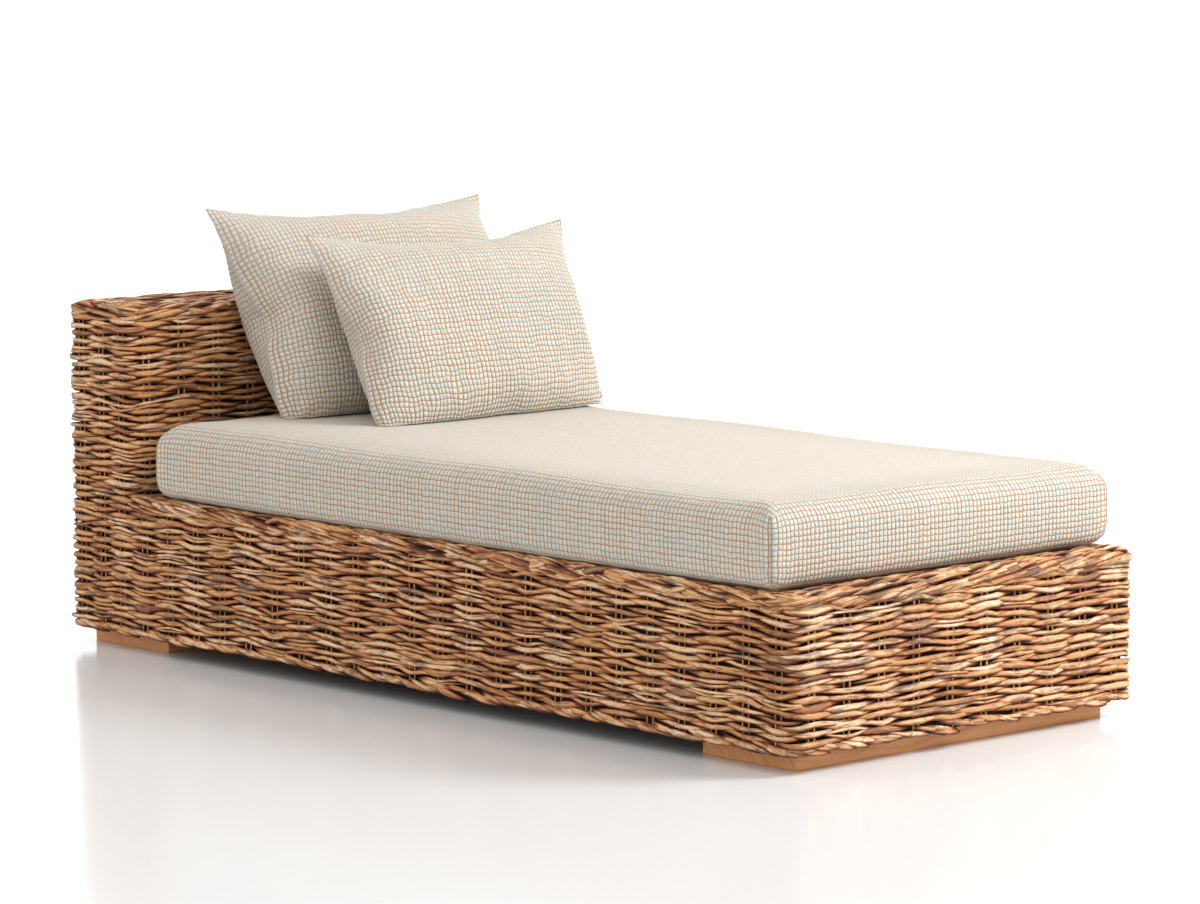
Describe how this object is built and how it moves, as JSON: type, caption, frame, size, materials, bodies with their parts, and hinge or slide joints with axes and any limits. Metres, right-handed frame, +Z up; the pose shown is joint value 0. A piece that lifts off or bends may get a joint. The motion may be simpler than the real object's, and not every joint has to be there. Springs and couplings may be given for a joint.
{
  "type": "rattan sun lounger",
  "caption": "Low sun lounger with a woven cane skin on a timber frame, a boxy headboard, wooden plinth boards, a thick mattress and two leaning pillows",
  "frame": {"origin": "on the floor, under the middle of the lounger's length and width", "axes": "+X runs along the lounger to its foot end, with the headboard at -X; +Y is the left side of someone who lies on it; +Z is up"},
  "size_m": [2.065, 0.9, 0.8939],
  "materials": {
    "plinth_wood": "satin",
    "frame_timber": "matte",
    "split_cane": "satin",
    "plaited_cane": "satin",
    "mattress_cloth": "matte",
    "pillow_cloth": "matte",
    "foam": "matte",
    "fibre_fill": "matte"
  },
  "bodies": {
    "lounger": {"foot_plinth": "plinth_wood", "head_plinth": "plinth_wood", "right_foot_post": "frame_timber", "right_head_post": "frame_timber", "right_headboard_post": "frame_timber", "right_headboard_cheek_rail": "frame_timber", "right_bottom_rail": "frame_timber", "right_deck_rail": "frame_timber", "right_head_stud": "frame_timber", "right_foot_stud": "frame_timber", "left_foot_post": "frame_timber", "left_head_post": "frame_timber", "left_headboard_post": "frame_timber", "left_headboard_cheek_rail": "frame_timber", "left_bottom_rail": "frame_timber", "left_deck_rail": "frame_timber", "left_head_stud": "frame_timber", "left_foot_stud": "frame_timber", "foot_bottom_rail": "frame_timber", "head_bottom_rail": "frame_timber", "foot_deck_rail": "frame_timber", "head_deck_rail": "frame_timber", "headboard_back_rail": "frame_timber", "headboard_front_rail": "frame_timber", "headboard_sill": "frame_timber", "headboard_front_stud": "frame_timber", "headboard_back_stud": "frame_timber", "middle_beam": "frame_timber", "slat_01": "frame_timber", "slat_02": "frame_timber", "slat_03": "frame_timber", "slat_04": "frame_timber", "slat_05": "frame_timber", "slat_06": "frame_timber", "slat_07": "frame_timber", "slat_08": "frame_timber", "slat_09": "frame_timber", "slat_10": "frame_timber", "slat_11": "frame_timber", "slat_12": "frame_timber", "right_side_weave": "split_cane", "left_side_weave": "split_cane", "foot_end_weave": "split_cane", "head_back_weave": "split_cane", "headboard_front_weave": "split_cane", "headboard_right_cheek_weave": "split_cane", "headboard_left_cheek_weave": "split_cane", "headboard_cap": "plaited_cane", "right_border": "plaited_cane", "left_border": "plaited_cane", "foot_border": "plaited_cane"},
    "mattress": {"mattress_cover": "mattress_cloth", "mattress_core": "foam"},
    "back_pillow": {"back_pillow_cover": "pillow_cloth", "back_pillow_stuffing": "fibre_fill"},
    "front_pillow": {"front_pillow_cover": "pillow_cloth", "front_pillow_stuffing": "fibre_fill"}
  },
  "joints": [
    {"name": "mattress_lift", "type": "slide", "parent": "lounger", "child": "mattress", "axis": [0, 0, 1], "range_m": [0, 0.5]},
    {"name": "back_pillow_lift", "type": "slide", "parent": "mattress", "child": "back_pillow", "axis": [-0.4226, 0, 0.9063], "range_m": [0, 0.45]},
    {"name": "front_pillow_lift", "type": "slide", "parent": "mattress", "child": "front_pillow", "axis": [0, 0, 1], "range_m": [0, 0.45]}
  ]
}
